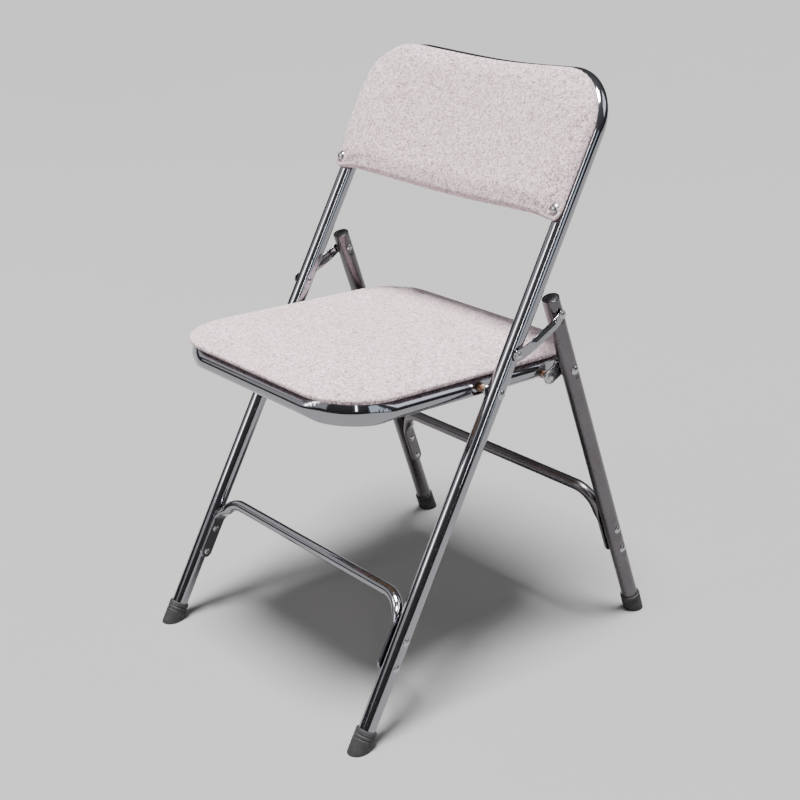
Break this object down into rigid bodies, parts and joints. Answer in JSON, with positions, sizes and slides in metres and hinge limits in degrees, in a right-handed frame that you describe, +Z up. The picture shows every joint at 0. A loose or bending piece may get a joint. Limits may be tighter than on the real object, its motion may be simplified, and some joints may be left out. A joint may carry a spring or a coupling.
{
  "type": "folding chair",
  "caption": "Folding chair of bent chromed steel tube with a fabric seat and backrest, link arms at the sides and rubber feet; the seat tips up as the rear legs close.",
  "frame": {"origin": "on the floor, under the middle of the chair's overall width and depth, with the chair open", "axes": "+Z up; the chair faces -Y; +X is the chair's left-right axis"},
  "size_m": [0.4642, 0.5276, 0.7663],
  "materials": {
    "chrome_tube": "bright chrome plate",
    "dull_chrome_tube": "dulled, lightly pitted chrome plate",
    "rivet_steel": "plated steel, slightly worn",
    "rusty_steel": "plated steel with brown rust",
    "black_rubber": "matte",
    "black_plastic": "matte",
    "back_panel_board": "fine grained",
    "seat_board_wood": "raw hardboard",
    "heather_fabric": "woven pinkish-grey heather"
  },
  "bodies": {
    "front_frame": {"front_frame_tube": "chrome_tube", "front_crossbar": "chrome_tube", "front_crossbar_rivet_right_upper": "rivet_steel", "front_crossbar_rivet_right_lower": "rivet_steel", "front_crossbar_rivet_left_upper": "rivet_steel", "front_crossbar_rivet_left_lower": "rivet_steel", "front_foot_right": "black_rubber", "front_foot_left": "black_rubber", "seat_pivot_rivet_right": "rivet_steel", "seat_pivot_rivet_left": "rivet_steel", "seat_pivot_spacer_right": "rusty_steel", "seat_pivot_spacer_left": "rusty_steel", "link_front_rivet_right": "rivet_steel", "link_front_rivet_left": "rivet_steel", "back_panel": "back_panel_board", "back_pad": "heather_fabric", "back_rivet_right": "rivet_steel", "back_rivet_left": "rivet_steel"},
    "seat": {"seat_ring": "chrome_tube", "seat_board": "seat_board_wood", "seat_pad": "heather_fabric", "seat_screw_front_right": "rivet_steel", "seat_screw_front_left": "rivet_steel", "seat_screw_rear_right": "rivet_steel", "seat_screw_rear_left": "rivet_steel"},
    "rear_legs": {"rear_leg_right": "dull_chrome_tube", "rear_leg_left": "dull_chrome_tube", "rear_leg_plug_right": "black_plastic", "rear_leg_plug_left": "black_plastic", "rear_crossbar": "dull_chrome_tube", "rear_crossbar_rivet_right_upper": "rivet_steel", "rear_crossbar_rivet_right_lower": "rivet_steel", "rear_crossbar_rivet_left_upper": "rivet_steel", "rear_crossbar_rivet_left_lower": "rivet_steel", "rear_foot_right": "black_rubber", "rear_foot_left": "black_rubber", "rear_bracket_right": "rivet_steel", "rear_bracket_left": "rivet_steel", "bracket_rivet_right": "rivet_steel", "bracket_rivet_left": "rivet_steel", "rear_pivot_rivet_right": "rivet_steel", "rear_pivot_rivet_left": "rivet_steel", "rear_pivot_spacer_right": "rusty_steel", "rear_pivot_spacer_left": "rusty_steel"},
    "link_arm_right": {"link_right": "chrome_tube", "link_rear_rivet_right": "rivet_steel"},
    "link_arm_left": {"link_left": "chrome_tube", "link_rear_rivet_left": "rivet_steel"}
  },
  "joints": [
    {"name": "seat_fold", "type": "hinge", "parent": "front_frame", "child": "seat", "pos_m": [0, -0.00843, 0.4017], "axis": [-1, 0, 0], "range_deg": [0, 99.5]},
    {"name": "rear_leg_fold", "type": "hinge", "parent": "seat", "child": "rear_legs", "pos_m": [0, 0.09806, 0.3895], "axis": [1, 0, 0], "range_deg": [0, 53.5]},
    {"name": "link_right_fold", "type": "hinge", "parent": "front_frame", "child": "link_arm_right", "pos_m": [0, 0.01807, 0.4462], "axis": [-1, 0, 0], "range_deg": [0, 110.2]},
    {"name": "link_left_fold", "type": "hinge", "parent": "front_frame", "child": "link_arm_left", "pos_m": [0, 0.01807, 0.4462], "axis": [-1, 0, 0], "range_deg": [0, 110.2]}
  ],
  "couplings": [
    {"joint": "rear_leg_fold", "follows": "seat_fold", "ratio": 0.53705},
    {"joint": "link_right_fold", "follows": "seat_fold", "ratio": 1.1065},
    {"joint": "link_left_fold", "follows": "seat_fold", "ratio": 1.1065}
  ]
}
